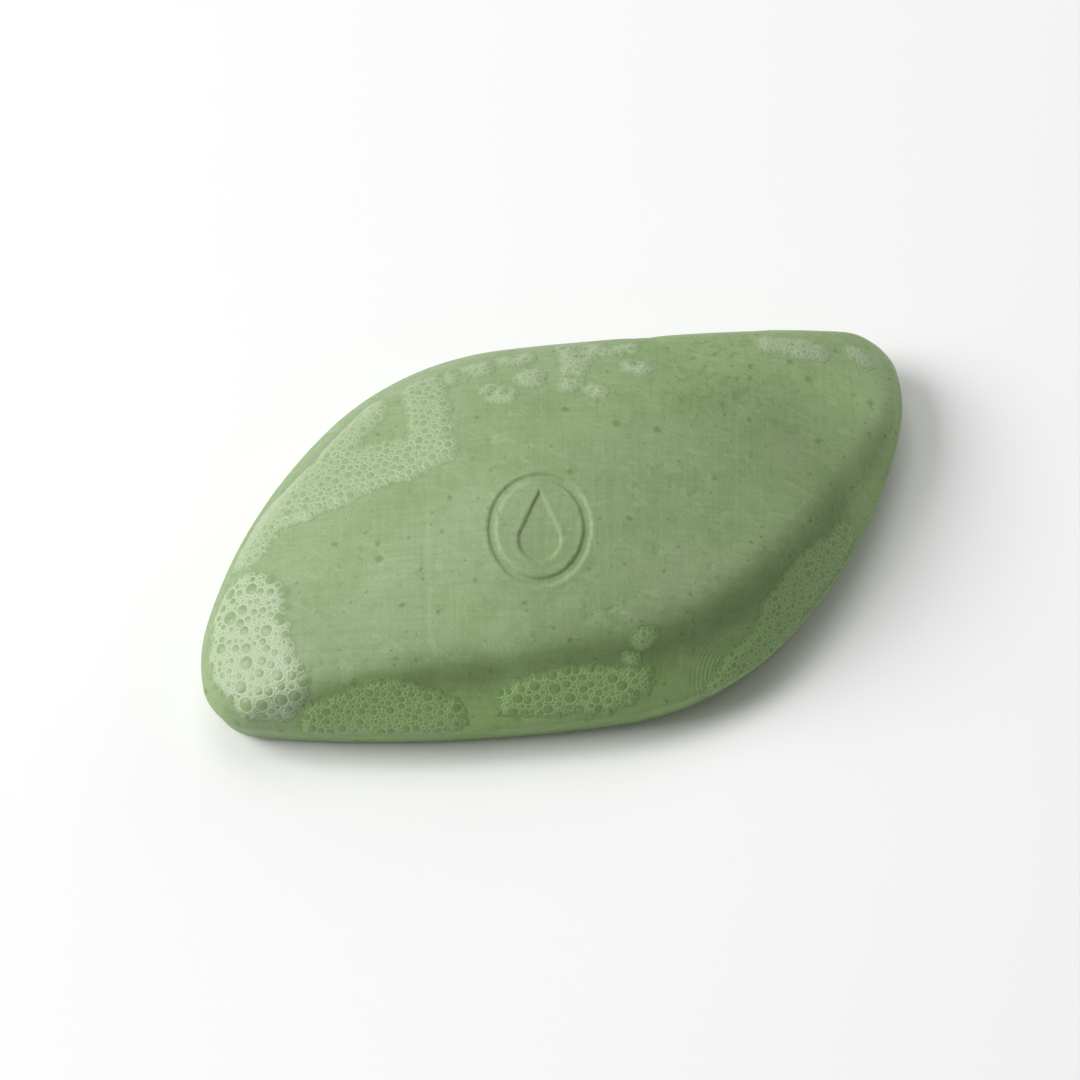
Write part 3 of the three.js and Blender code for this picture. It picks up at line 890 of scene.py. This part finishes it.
# Each raft: seed, look, largest and smallest bubble radius, bubbles tried per square millimetre,
# how rare the large ones are, and how far it spills past its CAD solid.
RAFTS = {
    "lather_left_end": (21, "froth", 0.95, 0.15, 11, 18, 1.5),
    "lather_lower_left": (22, "net", 0.6, 0.19, 11, 9, 0.4),
    "lather_front_middle": (23, "net", 0.75, 0.18, 11, 12, 0.3),
    "lather_right_flank": (24, "net", 0.5, 0.18, 11, 9, 0.2),
    "lather_upper_left": (25, "wisp", 0.55, 0.24, 9, 7, 1.3),
    "lather_edge_1": (26, "wisp", 0.45, 0.2, 8, 9),
    "lather_edge_2": (27, "wisp", 0.45, 0.2, 8, 9),
    "lather_edge_3": (28, "wisp", 0.45, 0.2, 8, 9),
    "lather_edge_4": (29, "wisp", 0.45, 0.2, 8, 9),
    "lather_edge_5": (30, "wisp", 0.5, 0.2, 8, 9),
    "lather_edge_6": (31, "wisp", 0.45, 0.2, 8, 9),
    "lather_edge_7": (32, "wisp", 0.45, 0.2, 8, 9),
    "lather_top_right": (33, "wisp", 0.5, 0.2, 8, 9),
    "lather_right_tip": (34, "wisp", 0.45, 0.2, 8, 9),
    "lather_speck_1": (35, "net", 0.4, 0.2, 8, 9),
    "lather_speck_2": (36, "net", 0.4, 0.2, 8, 9),
}
for node, settings in RAFTS.items():
    raft(node, *settings)

# ---- Stage: floor, light and camera ----

scene = bpy.context.scene
scene.view_settings.view_transform = "Standard"

FLOOR_REACH = 3.0
floor_mesh = bpy.data.meshes.new("floor")
corners = [(x * FLOOR_REACH, y * FLOOR_REACH, 0) for x, y in ((-1, -1), (1, -1), (1, 1), (-1, 1))]
floor_mesh.from_pydata(corners, [], [(0, 1, 2, 3)])
floor = bpy.data.objects.new("floor", floor_mesh)
scene.collection.objects.link(floor)
pale = Nodes("pale_floor")
pale.shader.inputs["Base Color"].default_value = (0.93, 0.93, 0.93, 1)
pale.shader.inputs["Roughness"].default_value = 0.7
floor_mesh.materials.append(pale.material)

# The camera looks at a point above the floor, a little left of the bar's middle and below it.
VIEW_TURN = math.radians(-30.39)
VIEW_RISE = math.radians(59.78)
VIEW_DISTANCE = 507.0
AIM_HEIGHT = 6.57
AIM_LEFT = 2.19
AIM_DOWN = 1.72
right = np.array([math.cos(VIEW_TURN), math.sin(VIEW_TURN), 0])
back = np.array([
    math.sin(VIEW_TURN) * math.cos(VIEW_RISE),
    -math.cos(VIEW_TURN) * math.cos(VIEW_RISE),
    math.sin(VIEW_RISE),
])
upward = np.cross(back, right)
aim = BAR_CENTRE + np.array([0, 0, AIM_HEIGHT]) - AIM_LEFT * right - AIM_DOWN * upward
camera = bpy.data.objects.new("camera", bpy.data.cameras.new("camera"))
scene.collection.objects.link(camera)
camera.data.lens = 138.1
camera.data.sensor_width = 36
camera.location = Vector((aim + back * VIEW_DISTANCE) * MM)
camera.rotation_mode = "QUATERNION"
camera.rotation_quaternion = Vector(-back).to_track_quat("-Z", "Y")
scene.camera = camera

LIGHT_DISTANCE = 1.2


def soft_light(name, turn, rise, size, power):
    """A square area light at LIGHT_DISTANCE. Turn is from the camera's right, anticlockwise."""
    a, e = VIEW_TURN + math.radians(turn), math.radians(rise)
    way = Vector((math.cos(a) * math.cos(e), math.sin(a) * math.cos(e), math.sin(e)))
    lamp = bpy.data.lights.new(name, "AREA")
    lamp.shape, lamp.size, lamp.energy = "SQUARE", size, power
    light = bpy.data.objects.new(name, lamp)
    scene.collection.objects.link(light)
    light.location = Vector(BAR_CENTRE * MM) + way * LIGHT_DISTANCE
    light.rotation_mode = "QUATERNION"
    light.rotation_quaternion = way.to_track_quat("Z", "Y")


soft_light("key", 180, 42, 0.7, 11.8)
soft_light("key_low", 180, 18, 0.7, 1.3)
soft_light("key_high", 190, 66, 0.7, 1.3)
soft_light("far_fill", 95, 66, 0.7, 3.1)
soft_light("right_fill", 45, 18, 0.7, 2.1)

world = bpy.data.worlds.new("studio")
world.use_nodes = True
world.node_tree.nodes["Background"].inputs["Color"].default_value = (1, 1, 1, 1)
world.node_tree.nodes["Background"].inputs["Strength"].default_value = 0.2
scene.world = world
